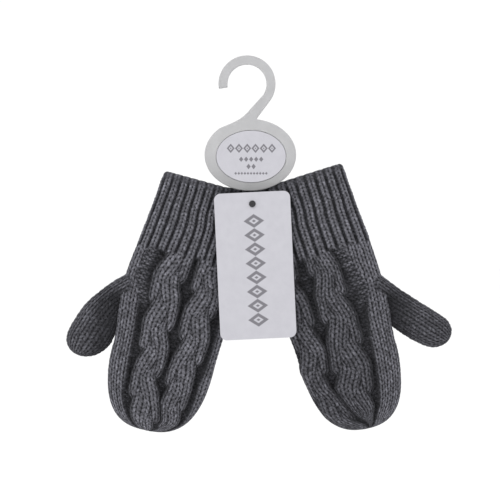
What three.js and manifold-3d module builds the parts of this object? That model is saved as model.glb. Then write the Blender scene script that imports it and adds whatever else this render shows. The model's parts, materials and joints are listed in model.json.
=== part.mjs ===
// A pair of toddler's cable-knit mittens on a small display hanger, in millimetres, +Z up.
// The origin is the top of the hook's inner curve, where the hanger rests on a display peg.
// Seen from the front, +X is to the right. The cabled backs of the hands face the front, -Y.
import * as THREE from 'three';
import { LoftGeometry } from 'three/addons/geometries/LoftGeometry.js';
import { mergeVertices } from 'three/addons/utils/BufferGeometryUtils.js';
import Module from 'manifold-3d';

const wasm = await Module();
wasm.setup();

// ---- driving dimensions ----

// Hanger: a flat moulding made of an open hook, an oval plate and a tongue behind the cuffs.
const PLATE_THICK = 2.4;
const HOOK_CENTRE_Z = -10.5;
const HOOK_INNER_R = 10.5;
const HOOK_OUTER_R = 15.4;
const HOOK_TIP_ANGLE = 189.5;
const HOOK_TIP_EASE = 0.8;
const SHANK_ANGLE = -36;
const OVAL = { x: 1.8, z: -48.8, a: 24.7, b: 19.4 };
// The shank leaves the hook at SHANK_ANGLE. Its outer edge runs to SHANK_FOOT and meets the oval
// at NOTCH_ANGLE. Its inner edge sweeps from the oval's SHOULDER_ANGLE up to the hook.
const SHANK_FOOT = [5.9, -28.3];
const NOTCH_ANGLE = 80;
const SHOULDER_ANGLE = 132;
const SWEEP = { leave: [-7.5, -31.2], arrive: [-3, -30.2], end: [1.6, -24.2] };
const EDGE_BEVEL = 0.5;
const TONGUE = { width: 8, top: -50, bottom: -80.5, front: 7.6, thick: 2, bridge: 4 };

// Size label, let into the front of the oval plate.
const LABEL = { x: 2.2, z: -49.7, a: 18.7, b: 13.9, thick: 0.5 };
const LABEL_CLEARANCE = 0.3;
const LABEL_PROUD = 0.1;

// Pin that holds the tag, both cuffs and the tongue together; the mittens and the tag swing on it.
const PIN = { x: 2.86, z: -75.3 };
const PIN_R = 0.8;
const PIN_HOLE_R = 1.2;
const PIN_HEAD = { r: 1.8, front: -3.7, back: -2.9, crownR: 1.17, crown: 0.12, rim: 0.5 };
const PIN_BAR = { r: 0.8, length: 9, y: 10.9 };

// Swing tag: a card with rounded corners, hung by a hole near its top edge.
const TAG = { width: 41, above: 6.3, below: 72.7, corner: 3.6, front: -2.6, thick: 0.7, lean: 2.7 };

// Knitted fabric: two layers with room for a hand between them.
const WALL = 3;
const MITTEN_MID_Y = 8.7;
const HALF_THICK = 7;
const SLOT_HALF = 0.25;
const PANEL_GAP = 0.3;
const SECTION_POWER = 2.5;

// Each cuff is pressed thin around the pin, so that one lies over the other there.
const PRESS = { half: 1.3, inner: 10, outer: 21 };

// Each mitten is drawn in its own frame: x outward from the pin, z up along the hand.
// `outline` lists [z, inner edge x, outer edge x] down the hand as far as the rounded tip.
const MITTENS = {
  left: {
    side: -1,
    tilt: 11.4,
    pressedY: 5.9,
    outline: [
      [12, -5.2, 49.2],
      [-3, -4.1, 51.3],
      [-31, -2, 56],
      [-50, -0.6, 59.4],
      [-88, 2.8, 58.9],
    ],
    cuffTop: 5.9,
    cuffEnd: -32,
    cuffSlope: 0.07,
    tip: -132.1,
    tipPower: 2.7,
    tipLean: 1.5,
    thumb: {
      axisX: 57.5,
      root: [-47, -73],
      centre: [
        [57.5, -60.7],
        [64.9, -67.8],
        [69.4, -76.2],
        [73.5, -86],
        [77.9, -99.3],
      ],
      width: [12.2, 9.9, 10.6, 10.7, 10.7],
      turn: [0, 23, 47, 68, 75],
    },
  },
  right: {
    side: 1,
    tilt: 11.1,
    pressedY: 3.0,
    outline: [
      [12, -4.4, 51.5],
      [-3, -2.8, 53.6],
      [-31, 0.4, 58.1],
      [-50, 2.4, 61],
      [-88, 8.8, 61.8],
    ],
    cuffTop: 8.7,
    cuffEnd: -30.5,
    cuffSlope: 0.115,
    tip: -131.9,
    tipPower: 2.55,
    tipLean: 2.3,
    thumb: {
      axisX: 59,
      root: [-47.5, -76.5],
      centre: [
        [59, -62],
        [65, -68.2],
        [71.9, -74.8],
        [81.2, -83.8],
        [90.9, -93.6],
      ],
      width: [13, 9.4, 9, 9.1, 9.1],
      turn: [0, 24, 44, 49, 50],
    },
  },
};
const TIP_START = -88;
const TIP_BLUNT = 0.993;
const THUMB_HALF_THICK = 5.5;
const THUMB_WALL = 2.6;
const THUMB_CLEARANCE = 0.5;
const THUMB_FOLD_ROOM = 3.2;
const THUMB_MOUTH = 14;
const THUMB_CAP = 10.5;
const THUMB_BLUNT = 0.03;

// The fabric thins out and rounds off towards the tip, and slants in the cuff.
const TIP_THINNING = { from: -60, share: 0.2, roundPower: 5, roundRoot: 0.4 };
const TIP_HALF_MIN = 1.5;
const SLANT = { from: -75, to: -35 };

// How finely the fabric is lofted.
const SIDES_OF_SKIN = 30;
const SIDES_OF_CAVITY = 22;
const SIDES_OF_THUMB = 20;
const SKIN_STEP = 7;
const CAVITY_STEP = 8;
const TIP_RINGS = 9;
const THUMB_RINGS = 12;

// Cutting tools run past what they cut, and the blocks are wider than a whole mitten.
const OVERCUT = 1;
const CUFF_OVERCUT = 6;
const PIN_HOLE_LENGTH = 60;
const SEAM_BLOCK = { x: 200, y: 60, above: 80, below: 160, middleX: 28 };
const LAYER_BLOCK = { x: 300, y: 60, z: 400 };

// ---- materials ----

function material(color, roughness, metalness = 0) {
  return new THREE.MeshStandardMaterial({ color, roughness, metalness });
}

const knit = () => material(0x4c4d52, 0.95);
const frosted = () => material(0xc2c2c6, 0.45);
const card = () => material(0xd6d6dc, 0.7);

// ---- solids ----

// A manifold solid from a closed three.js geometry.
function solid(geometry) {
  const bare = new THREE.BufferGeometry().copy(geometry);
  bare.deleteAttribute('normal');
  bare.deleteAttribute('uv');
  const merged = mergeVertices(bare, 1e-4);
  return new wasm.Manifold(new wasm.Mesh({
    numProp: 3,
    vertProperties: new Float32Array(merged.attributes.position.array),
    triVerts: new Uint32Array(merged.index.array),
  }));
}

// The three.js geometry of a manifold solid.
function geometryOf(manifold) {
  const mesh = manifold.getMesh();
  const geometry = new THREE.BufferGeometry();
  geometry.setAttribute('position', new THREE.BufferAttribute(mesh.vertProperties, 3));
  geometry.setIndex(new THREE.BufferAttribute(mesh.triVerts, 1));
  geometry.computeVertexNormals();
  return geometry;
}

function namedMesh(name, shape, surface) {
  const mesh = new THREE.Mesh(shape.isBufferGeometry ? shape : geometryOf(shape), surface);
  mesh.name = name;
  return mesh;
}

// A flat outline drawn in the XZ plane, from y = front backwards by `thick`.
function slab(shape, front, thick, bevel = 0) {
  const geometry = new THREE.ExtrudeGeometry(shape, {
    depth: thick - 2 * bevel,
    bevelEnabled: bevel > 0,
    bevelThickness: bevel,
    bevelSize: bevel,
    bevelOffset: -bevel,
    bevelSegments: 1,
    curveSegments: 18,
  });
  geometry.rotateX(Math.PI / 2);
  geometry.translate(0, front + thick - bevel, 0);
  return geometry;
}

function ellipse(x, z, a, b) {
  return new THREE.Shape().absellipse(x, z, a, b, 0, 2 * Math.PI);
}

// A round bar along Y, for the holes that the pin goes through.
function pinHole(radius) {
  return solid(new THREE.CylinderGeometry(radius, radius, PIN_HOLE_LENGTH, 20));
}

function box(sizeX, sizeY, sizeZ, x, y, z) {
  return new THREE.BoxGeometry(sizeX, sizeY, sizeZ).translate(x, y, z);
}

// ---- hanger ----

function hangerOutline() {
  const tip = THREE.MathUtils.degToRad(HOOK_TIP_ANGLE);
  const shank = THREE.MathUtils.degToRad(SHANK_ANGLE);
  const hookPoint = (radius, angle) => [radius * Math.cos(angle), HOOK_CENTRE_Z + radius * Math.sin(angle)];
  const outerEase = tip - HOOK_TIP_EASE / HOOK_OUTER_R;
  const innerEase = tip - HOOK_TIP_EASE / HOOK_INNER_R;
  const notch = THREE.MathUtils.degToRad(NOTCH_ANGLE);
  const shoulder = THREE.MathUtils.degToRad(SHOULDER_ANGLE);
  const shape = new THREE.Shape();
  shape.absarc(0, HOOK_CENTRE_Z, HOOK_OUTER_R, outerEase, shank, true);
  shape.lineTo(...SHANK_FOOT);
  shape.absellipse(OVAL.x, OVAL.z, OVAL.a, OVAL.b, notch, shoulder - 2 * Math.PI, true);
  shape.bezierCurveTo(...SWEEP.leave, ...SWEEP.arrive, ...SWEEP.end);
  shape.absarc(0, HOOK_CENTRE_Z, HOOK_INNER_R, shank, innerEase, false);
  // The end of the hook is cut square across, with its two corners eased.
  shape.quadraticCurveTo(...hookPoint(HOOK_INNER_R, tip), ...hookPoint(HOOK_INNER_R + HOOK_TIP_EASE, tip));
  shape.lineTo(...hookPoint(HOOK_OUTER_R - HOOK_TIP_EASE, tip));
  shape.quadraticCurveTo(...hookPoint(HOOK_OUTER_R, tip), ...hookPoint(HOOK_OUTER_R, outerEase));
  return shape;
}

function tongueOutline() {
  const half = TONGUE.width / 2;
  const shape = new THREE.Shape();
  shape.moveTo(PIN.x + half, TONGUE.top);
  shape.lineTo(PIN.x - half, TONGUE.top);
  shape.lineTo(PIN.x - half, TONGUE.bottom + half);
  shape.absarc(PIN.x, TONGUE.bottom + half, half, Math.PI, 2 * Math.PI, false);
  return shape;
}

function hanger() {
  const front = -PLATE_THICK / 2;
  const recessDepth = LABEL.thick + LABEL_CLEARANCE - LABEL_PROUD;
  const recess = ellipse(LABEL.x, LABEL.z, LABEL.a + LABEL_CLEARANCE, LABEL.b + LABEL_CLEARANCE);
  const bridgeDepth = TONGUE.front + TONGUE.thick / 2;
  const bridge = box(
    TONGUE.width,
    bridgeDepth,
    TONGUE.bridge,
    PIN.x,
    bridgeDepth / 2,
    TONGUE.top - TONGUE.bridge / 2,
  );
  const plate = solid(slab(hangerOutline(), front, PLATE_THICK, EDGE_BEVEL))
    .subtract(solid(slab(recess, front - OVERCUT, OVERCUT + recessDepth)));
  const behindPlate = PIN_HOLE_LENGTH / 2 + PLATE_THICK;
  const shape = plate
    .add(solid(bridge))
    .add(solid(slab(tongueOutline(), TONGUE.front, TONGUE.thick)))
    .subtract(pinHole(PIN_HOLE_R).translate([PIN.x, behindPlate, PIN.z]));
  return namedMesh('hanger', shape, frosted());
}

function sizeLabel() {
  const front = -PLATE_THICK / 2 - LABEL_PROUD;
  const outline = ellipse(LABEL.x, LABEL.z, LABEL.a, LABEL.b);
  return namedMesh('size_label', slab(outline, front, LABEL.thick), card());
}

// ---- tag and pin ----

function tagOutline() {
  const half = TAG.width / 2;
  const corner = TAG.corner;
  const shape = new THREE.Shape();
  shape.absarc(half - corner, TAG.above - corner, corner, 0, Math.PI / 2);
  shape.absarc(corner - half, TAG.above - corner, corner, Math.PI / 2, Math.PI);
  shape.absarc(corner - half, corner - TAG.below, corner, Math.PI, 1.5 * Math.PI);
  shape.absarc(half - corner, corner - TAG.below, corner, 1.5 * Math.PI, 2 * Math.PI);
  shape.holes.push(new THREE.Path().absarc(0, 0, PIN_HOLE_R, 0, 2 * Math.PI, true));
  return shape;
}

function swingTag() {
  const geometry = slab(tagOutline(), TAG.front, TAG.thick);
  geometry.rotateY(-THREE.MathUtils.degToRad(TAG.lean));
  return namedMesh('swing_tag', geometry, card());
}

// Round head in front of the tag, thin shank through everything, and a cross bar behind.
function tagPin() {
  const profile = [
    [0, PIN_HEAD.front],
    [PIN_HEAD.crownR, PIN_HEAD.front + PIN_HEAD.crown],
    [PIN_HEAD.r, PIN_HEAD.front + PIN_HEAD.rim],
    [PIN_HEAD.r, PIN_HEAD.back],
    [PIN_R, PIN_HEAD.back],
    [PIN_R, PIN_BAR.y],
    [0, PIN_BAR.y],
  ].map(([r, y]) => new THREE.Vector2(r, y));
  const bar = new THREE.CapsuleGeometry(PIN_BAR.r, PIN_BAR.length - 2 * PIN_BAR.r, 3, 10);
  bar.rotateZ(Math.PI / 2);
  bar.translate(0, PIN_BAR.y, 0);
  const shape = solid(new THREE.LatheGeometry(profile, 20)).add(solid(bar));
  return namedMesh('tag_pin', shape, material(0x2b2b2f, 0.5));
}

// ---- mittens ----

// 0 at `from` and 1 at `to`, whichever of them is larger.
function smooth(from, to, value) {
  return THREE.MathUtils.smoothstep((value - from) / (to - from), 0, 1);
}

// Inner and outer edge of the hand at height z, in the mitten's own frame.
function edgesAt(mitten, z) {
  const stations = [...mitten.outline].reverse();
  const curve = new THREE.CubicInterpolant(
    stations.map((station) => station[0]),
    stations.flatMap((station) => [station[1], station[2]]),
    2,
  );
  const [inner, outer] = curve.evaluate(Math.max(z, TIP_START));
  if (z >= TIP_START) return { inner, outer };
  const fraction = (TIP_START - z) / (TIP_START - mitten.tip);
  const narrow = (1 - fraction ** mitten.tipPower) ** (1 / mitten.tipPower);
  const middle = (inner + outer) / 2 + mitten.tipLean * fraction;
  const half = ((outer - inner) / 2) * narrow;
  return { inner: middle - half, outer: middle + half };
}

// One closed ring of the fabric's skin. `inset` moves it inside by the wall, for the hollow.
function skinRing(mitten, z, inset, sides) {
  const { inner, outer } = edgesAt(mitten, z + inset * smooth(TIP_START, mitten.tip, z));
  const middle = (inner + outer) / 2;
  const half = Math.max((outer - inner) / 2 - inset, TIP_HALF_MIN);
  const fraction = Math.max((TIP_START - z) / (TIP_START - mitten.tip), 0);
  const thinned = 1 - TIP_THINNING.share * smooth(TIP_THINNING.from, mitten.tip, z);
  const rounded = (1 - fraction ** TIP_THINNING.roundPower) ** TIP_THINNING.roundRoot;
  const slope = mitten.cuffSlope * smooth(SLANT.from, SLANT.to, z);
  const points = [];
  for (let i = 0; i < sides; i++) {
    const angle = (2 * Math.PI * i) / sides;
    const across = Math.sign(Math.cos(angle)) * Math.abs(Math.cos(angle)) ** (2 / SECTION_POWER);
    const through = Math.sign(Math.sin(angle)) * Math.abs(Math.sin(angle)) ** (2 / SECTION_POWER);
    const x = middle + half * across;
    const height = z + slope * (x - middle);
    const pressed = 1 - smooth(PRESS.inner, PRESS.outer, Math.hypot(x, height));
    const fullHalf = (HALF_THICK - inset) * thinned * rounded;
    const pressedHalf = inset > 0 ? SLOT_HALF : PRESS.half;
    const depth = THREE.MathUtils.lerp(fullHalf, pressedHalf, pressed) * through;
    const midY = THREE.MathUtils.lerp(MITTEN_MID_Y, mitten.pressedY, pressed);
    points.push(new THREE.Vector3(mitten.side * x, midY - mitten.side * depth, height));
  }
  return points;
}

// Ring heights from `top` down to `tip`, closer together as the tip rounds off.
function ringHeights(top, tip, step) {
  const heights = [];
  for (let z = top; z > TIP_START; z -= step) heights.push(z);
  for (let i = 0; i <= TIP_RINGS; i++) {
    const turn = ((Math.PI / 2) * i) / TIP_RINGS;
    heights.push(TIP_START + (tip - TIP_START) * Math.min(Math.sin(turn), TIP_BLUNT));
  }
  return heights;
}

function skin(mitten) {
  const heights = ringHeights(mitten.cuffTop, mitten.tip, SKIN_STEP);
  const rings = heights.map((z) => skinRing(mitten, z, 0, SIDES_OF_SKIN));
  return solid(new LoftGeometry(rings, { capStart: true, capEnd: true }));
}

function cavity(mitten) {
  const heights = ringHeights(mitten.cuffTop + CUFF_OVERCUT, mitten.tip + WALL, CAVITY_STEP);
  const rings = heights.map((z) => skinRing(mitten, z, WALL, SIDES_OF_CAVITY));
  return solid(new LoftGeometry(rings, { capStart: true, capEnd: true }));
}

// The thumb's skin: a curved tube from its root at the hand's side to a round tip.
// `inset` moves it inside by the wall, and `rootInside` carries its open end into the hand.
function thumbTube(mitten, inset, rootInside) {
  const { thumb, side } = mitten;
  const centreline = new THREE.CatmullRomCurve3(
    thumb.centre.map(([x, z]) => new THREE.Vector3(x, 0, z)),
  );
  const sizes = new THREE.CubicInterpolant(
    thumb.centre.map((_, i) => i / (thumb.centre.length - 1)),
    thumb.centre.flatMap((_, i) => [thumb.width[i], thumb.turn[i]]),
    2,
  );
  const length = centreline.getLength();
  const endU = 1 - Math.max(inset, 0) / length;
  const ringAt = (u, back) => {
    const place = centreline.getPoint(u);
    const [width, turn] = sizes.evaluate(u);
    const fromEnd = ((endU - u) * length) / (THUMB_CAP - inset);
    const round = Math.sqrt(Math.max(1 - (1 - Math.min(fromEnd, 1)) ** 2, THUMB_BLUNT));
    const lean = THREE.MathUtils.degToRad(turn);
    return Array.from({ length: SIDES_OF_THUMB }, (_, j) => {
      const angle = (2 * Math.PI * j) / SIDES_OF_THUMB;
      const along = (width - inset) * round * Math.cos(angle);
      const depth = (THUMB_HALF_THICK - inset) * round ** 0.8 * Math.sin(angle);
      return new THREE.Vector3(
        side * (place.x - back + along * Math.sin(lean)),
        MITTEN_MID_Y - side * depth,
        place.z + along * Math.cos(lean),
      );
    });
  };
  const rings = rootInside > 0 ? [ringAt(0, rootInside)] : [];
  for (let i = 0; i <= THUMB_RINGS; i++) {
    rings.push(ringAt(endU * Math.sin((Math.PI / 2) * (i / THUMB_RINGS)), 0));
  }
  return solid(new LoftGeometry(rings, { capStart: true, capEnd: true }));
}

// A round-ended bar along the thumb's fold axis, just inside the hand's side.
// `room` carries it further down, so that the thumb folds clear of the hand there.
function thumbBarrel(mitten, radius, room) {
  const [top, rootBottom] = mitten.thumb.root;
  const bottom = rootBottom - room;
  const bar = new THREE.CapsuleGeometry(radius, top - bottom - 2 * THUMB_HALF_THICK, 5, 20);
  bar.rotateX(Math.PI / 2);
  bar.translate(mitten.side * mitten.thumb.axisX, MITTEN_MID_Y, (top + bottom) / 2);
  return solid(bar);
}

function thumbMesh(name, mitten) {
  const shape = thumbTube(mitten, 0, 0)
    .add(thumbBarrel(mitten, THUMB_HALF_THICK, 0))
    .subtract(thumbTube(mitten, THUMB_WALL, THUMB_MOUTH));
  return namedMesh(`${name}_thumb`, shape, knit());
}

// A mitten, in a group that is turned about the pin.
function mittenGroup(name, mitten) {
  const { side } = mitten;
  const group = new THREE.Group();
  group.position.set(PIN.x, 0, PIN.z);
  group.rotation.y = -side * THREE.MathUtils.degToRad(mitten.tilt);

  const shell = skin(mitten).subtract(cavity(mitten)).subtract(pinHole(PIN_HOLE_R));
  // Two blocks, above and below the slanted seam, part the cuff from the hand.
  const seamBlock = (height, centreZ) => {
    const block = box(SEAM_BLOCK.x, SEAM_BLOCK.y, height, 0, 0, centreZ);
    block.rotateY(-side * Math.atan(mitten.cuffSlope));
    return solid(block).translate([side * SEAM_BLOCK.middleX, 0, mitten.cuffEnd]);
  };
  const cuffBlock = seamBlock(SEAM_BLOCK.above, SEAM_BLOCK.above / 2);
  const handBlock = seamBlock(SEAM_BLOCK.below, -SEAM_BLOCK.below / 2 - PANEL_GAP);
  // Two blocks, in front of and behind the mitten's middle, part its back from its palm.
  const layerBlock = (offset) => {
    const centreY = MITTEN_MID_Y + offset;
    return solid(box(LAYER_BLOCK.x, LAYER_BLOCK.y, LAYER_BLOCK.z, 0, centreY, 0));
  };
  const layerOffset = LAYER_BLOCK.y / 2 + PANEL_GAP / 2;
  const hand = shell
    .intersect(handBlock)
    .subtract(thumbBarrel(mitten, THUMB_HALF_THICK + THUMB_CLEARANCE, THUMB_FOLD_ROOM))
    .subtract(thumbTube(mitten, -THUMB_CLEARANCE, 0));

  group.add(namedMesh(`${name}_cuff`, shell.intersect(cuffBlock), knit()));
  group.add(namedMesh(`${name}_back_panel`, hand.intersect(layerBlock(-layerOffset)), knit()));
  group.add(namedMesh(`${name}_palm_panel`, hand.intersect(layerBlock(layerOffset)), knit()));
  group.add(thumbMesh(name, mitten));
  return group;
}

// ---- the whole display ----

const model = new THREE.Group();
model.add(hanger());
model.add(sizeLabel());
const onPin = new THREE.Group();
onPin.position.set(PIN.x, 0, PIN.z);
onPin.add(swingTag());
onPin.add(tagPin());
model.add(onPin);
for (const [name, mitten] of Object.entries(MITTENS)) model.add(mittenGroup(name, mitten));

export default model;
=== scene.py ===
import json
import math

import bmesh
import bpy
import numpy as np
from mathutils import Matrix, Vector


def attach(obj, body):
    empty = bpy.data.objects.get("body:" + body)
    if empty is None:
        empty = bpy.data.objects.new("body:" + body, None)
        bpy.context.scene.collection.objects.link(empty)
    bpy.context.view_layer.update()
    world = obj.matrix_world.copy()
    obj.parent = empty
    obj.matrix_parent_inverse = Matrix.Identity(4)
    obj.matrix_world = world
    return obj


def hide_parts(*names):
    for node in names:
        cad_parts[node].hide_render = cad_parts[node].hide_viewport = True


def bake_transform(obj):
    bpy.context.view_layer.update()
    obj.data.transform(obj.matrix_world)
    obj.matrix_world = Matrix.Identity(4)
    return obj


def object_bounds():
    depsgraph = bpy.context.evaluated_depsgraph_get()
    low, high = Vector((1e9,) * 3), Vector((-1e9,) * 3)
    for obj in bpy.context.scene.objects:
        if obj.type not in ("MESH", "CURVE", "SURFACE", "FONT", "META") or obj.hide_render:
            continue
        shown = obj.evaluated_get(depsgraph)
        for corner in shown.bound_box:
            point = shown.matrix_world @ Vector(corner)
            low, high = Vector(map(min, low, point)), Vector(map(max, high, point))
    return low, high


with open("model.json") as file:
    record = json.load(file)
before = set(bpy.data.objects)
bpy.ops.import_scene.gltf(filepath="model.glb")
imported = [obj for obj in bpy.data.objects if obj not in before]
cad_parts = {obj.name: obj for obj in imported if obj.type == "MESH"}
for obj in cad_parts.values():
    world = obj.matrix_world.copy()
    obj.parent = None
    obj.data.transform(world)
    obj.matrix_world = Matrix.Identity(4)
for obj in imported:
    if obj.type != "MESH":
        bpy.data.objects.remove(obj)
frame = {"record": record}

CAD_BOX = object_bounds()

# The script works in millimetres and hands metres to Blender.
MM = 0.001

# ---- driving dimensions: the mitten's shape, as in the CAD model, and its knitting ----

PIN = next(j for j in frame["record"]["behaviour"]["joints"] if j["name"] == "tag_swing")["pos_m"]
PIN_X = PIN[0] / MM
PIN_Z = PIN[2] / MM

# The mitten laid flat: its middle plane, half thickness, and how far in the hidden lining lies.
MID_Y = 8.7
HALF_THICK = 7.0
HALF_WIDTH_MIN = 0.3
LINING = 3.2
SECTION_POWER = 2.5
OVERLAP = 0.15

# The fabric thins, rounds off and ends towards the tip, and slants in the cuff.
TIP_START = -88.0
TIP_END = 0.9992
THINNING, THIN_FROM = 0.2, -60
ROUND_POWER, ROUND_ROOT = 5, 0.4
SLANT_FROM, SLANT_TO = -75, -35

# The cuff's soft top edge: its height, and how calm and shaded the knitting is there.
LIP = 1.4
LIP_RISE = 0.5
LIP_SINK = -0.1
LIP_SHADE = 0.62
LIP_CALM = 0.16
INSIDE_CALM = 0.3

# Round the pin the cuffs are pressed thin and gathered up, clear of the hanger's plate.
PRESS_HALF = 1.3
PRESS_INNER = 10.0
PRESS_OUTER = 21.0
PRESS_CALM = 0.72
SLOT_HALF = 0.25
GATHER = 2.4
GATHER_FROM, GATHER_TO = 17, 7
PLATE_CLEARANCE = 0.6
CLEAR_FROM, CLEAR_TO = 26, 14

# Height of the knitting where back and palm meet, and how far the outline stands out.
SIDE_JOIN = -0.4
EDGE_LIFT = 0.75

THUMB_HALF_THICK = 5.5
THUMB_CAP = 10.5
THUMB_BLUNT = 0.0006
THUMB_LINING = 2.6
THUMB_TUCK = 1.6
THUMB_HUG = 2.3

# Knitting gauge: the pitch of the wales and rows.
WALE = 3.5
ROW = 2.5
CABLE_WALE = 2.6
PURL_WALE = 2.9
THUMB_WALE = 3.2
THUMB_ROW = 2.3
RIB_WALE = 3.6
RIB_ROW = 2.0
RIB_PITCH = 4.5

# Unrolled: the width that the pattern is drawn in, the cloth across each piece, a thumb's wales.
PATTERN = 60.0
HAND_GIRTH = 63
CUFF_GIRTH = 112
THUMB_GIRTH = 50
THUMB_WALES = 15

# The mesh grid, the grid cells to one cell of the lining, and the lining's painted shading, ply and pick.
GRID = 0.28
COARSE = 6
LINING_LOOK = (0.35, 0.0, 0.5)

# The shade that gathers in hollows: its reach in grid cells, its depth in mm and its strength.
SHADE_REACH = 11
SHADE_DEPTH = 2.1
SHADE_SHARE = 0.9

MITTENS = {
    "left": dict(
        side=-1, tilt=11.4, pressed_y=5.9,
        outline=[(12, -5.2, 49.2), (-3, -4.1, 51.3), (-31, -2, 56), (-50, -0.6, 59.4), (-88, 2.8, 58.9)],
        cuff_top=5.9, cuff_end=-32.0, cuff_slope=0.07,
        tip=-132.1, tip_power=2.7, tip_lean=1.5,
        ribs=12, rib_share=0.88, plaits=(16.8, 36.2), period=79.5, first_lobes=(50.0, 33.7),
        strand_wales=(4, 4), cable_shade=[(40, 1.0), (100, 1.0)],
        band=[(30, 51), (48, 52.3), (53, 51.8), (59, 48.6), (70, 47.6), (92, 47), (103, 47), (114, 48.5)],
        band_high=6.2, gutters=(7.2, 26.5, 45.5), swell=[(100, 1, 1), (114, 1, 1.2)],
        places=[
            (88, 0.12, 0.44, 0.758), (103, 0.16, 0.465, 0.758), (115, 0.14, 0.44, 0.75),
            (125, 0.09, 0.36, 0.73),
        ],
        thumb=dict(
            centre=[(57.5, -60.7), (64.9, -67.8), (69.4, -76.2), (73.5, -86), (77.9, -99.3)],
            width=[12.2, 9.9, 10.6, 10.7, 10.7], turn=[0, 23, 47, 68, 75],
            shade=0.84,
        ),
    ),
    "right": dict(
        side=1, tilt=11.1, pressed_y=3.0,
        outline=[(12, -4.4, 51.5), (-3, -2.8, 53.6), (-31, 0.4, 58.1), (-50, 2.4, 61), (-88, 8.8, 61.8)],
        cuff_top=8.7, cuff_end=-30.5, cuff_slope=0.115,
        tip=-131.9, tip_power=2.55, tip_lean=2.3,
        ribs=11, rib_share=0.86, plaits=(9.6, 30.4), period=83.0, first_lobes=(41.0, 27.6),
        strand_wales=(4, 5), cable_shade=[(40, 0.88), (100, 0.79)],
        band=[(28, 42), (36, 43), (50, 46.6), (58, 48.5), (66, 46.5), (78, 44.6), (92, 43.4), (120, 43.2)],
        band_high=2.4, gutters=(0.0, 20.0, 41.5),
        swell=[(50, 1, 1), (64, 1, 1.13), (78, 1.05, 1.22), (92, 1.1, 1.28), (106, 1.12, 1.3)],
        places=[
            (85, 0.0, 0.333, 0.69), (106, 0.0, 0.283, 0.69), (120, 0.0, 0.372, 0.67), (126, 0.0, 0.44, 0.635),
            (131, 0.0, 0.6, 0.66),
        ],
        thumb=dict(
            centre=[(59, -62), (65, -68.2), (71.9, -74.8), (81.2, -83.8), (90.9, -93.6)],
            width=[13, 9.4, 9, 9.1, 9.1], turn=[0, 24, 44, 49, 50],
            shade=0.78,
        ),
    ),
}


# ---- small numeric helpers ----

def smooth(a, b, x):
    """0 at a and 1 at b, whichever is larger."""
    t = np.clip((x - a) / (b - a), 0, 1)
    return t * t * (3 - 2 * t)


def through(xs, ys, x):
    """A smooth curve through a few points, evaluated at x (Hermite, with finite-difference slopes)."""
    xs = np.asarray(xs, float)
    ys = np.asarray(ys, float)
    slopes = np.gradient(ys, xs)
    i = np.clip(np.searchsorted(xs, x) - 1, 0, len(xs) - 2)
    h = xs[i + 1] - xs[i]
    t = np.clip((x - xs[i]) / h, 0, 1)
    return (
        (2 * t**3 - 3 * t**2 + 1) * ys[i]
        + (t**3 - 2 * t**2 + t) * h * slopes[i]
        + (3 * t**2 - 2 * t**3) * ys[i + 1]
        + (t**3 - t**2) * h * slopes[i + 1]
    )


def hash01(a, b, seed):
    """A repeatable random number from 0 to 1 for each pair of whole numbers."""
    n = (a.astype(np.int64) * 73856093) ^ (b.astype(np.int64) * 19349663) ^ (seed * 83492791)
    n = (n ^ (n >> 13)) * 1274126177 & 0x7FFFFFFF
    return (n % 100003) / 100003.0


def ripple(x, y, scale, seed):
    """A smooth uneven field from -1 to 1, with features about `scale` wide."""
    rng = np.random.default_rng(seed)
    total = np.zeros(np.broadcast(x, y).shape)
    waves = 7
    for _ in range(waves):
        angle = rng.uniform(0, 2 * math.pi)
        length = scale * rng.uniform(0.7, 1.9)
        phase = rng.uniform(0, 2 * math.pi)
        total = total + np.sin(2 * math.pi * (x * math.cos(angle) + y * math.sin(angle)) / length + phase)
    return total / (waves / 2)


# ---- the knitted surface ----

def choose(over, first, second):
    """Each value of the first group where over is true, and of the second elsewhere."""
    return [np.where(over, a, b) for a, b in zip(first, second)]


def best_of(layers):
    """The highest of several (height, ply, pick) layers at each point."""
    best = layers[0]
    for layer in layers[1:]:
        best = choose(layer[0] > best[0], layer, best)
    return best


def knit_stitches(t, s, wale=WALE, row=ROW, spread=0.235):
    """Knit-side stitches: nested pairs of leaning legs. t counts wales and s counts rows."""
    it = np.floor(t)
    ft = t - it
    radius = spread * wale
    top, bottom = -0.18 * row, 1.22 * row
    near, far = 0.125 * wale, 0.365 * wale
    length = math.hypot(far - near, bottom - top)
    ux, uy = (far - near) / length, (bottom - top) / length
    layers = []
    for shift in (-1, 0, 1):
        js = np.floor(s) + shift
        y = (s - js) * row - top
        for lean in (-1, 1):
            jog = 0.06 * wale * (hash01(it, js, 7 + lean) - 0.5)
            x = ((ft - 0.5) * wale + jog) * lean - near
            along = (x * ux + y * uy) / length
            across = (y * ux - x * uy) / radius
            arch = np.clip(1 - np.abs(1.9 * (along - 0.47)) ** 2.6, 0, 1) ** 0.5
            body = np.sqrt(np.clip(1 - across**2, 0, 1))
            lift = 0.88 + 0.24 * hash01(it, js, 11 + lean)
            layers.append((arch * body * lift, along * length + across * 1.1, hash01(it, js, 5 + lean)))
    return best_of(layers)


def purl_stitches(t, s, wale=WALE, row=ROW):
    """Purl-side stitches: rows of interlocking arcs."""
    half_yarn = 0.27
    layers = []
    for offset, centre, bow in ((0.5, 0.25, -0.24), (0.0, 0.75, 0.24)):
        it = np.floor(t - offset + 0.5)
        dt = t - offset - it
        for shift in (-1, 0, 1):
            js = np.floor(s) + shift
            ds = s - js - centre - bow * (2 * dt) ** 2 + bow * 0.4
            body = np.sqrt(np.clip(1 - (ds / half_yarn) ** 2, 0, 1))
            h = body * np.sqrt(np.clip(1 - (dt / 0.5) ** 2, 0, 1)) * (0.8 + 0.4 * hash01(it, js, 9))
            layers.append((h, dt * wale + ds * row, hash01(it, js, 3)))
    return best_of(layers)


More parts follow.
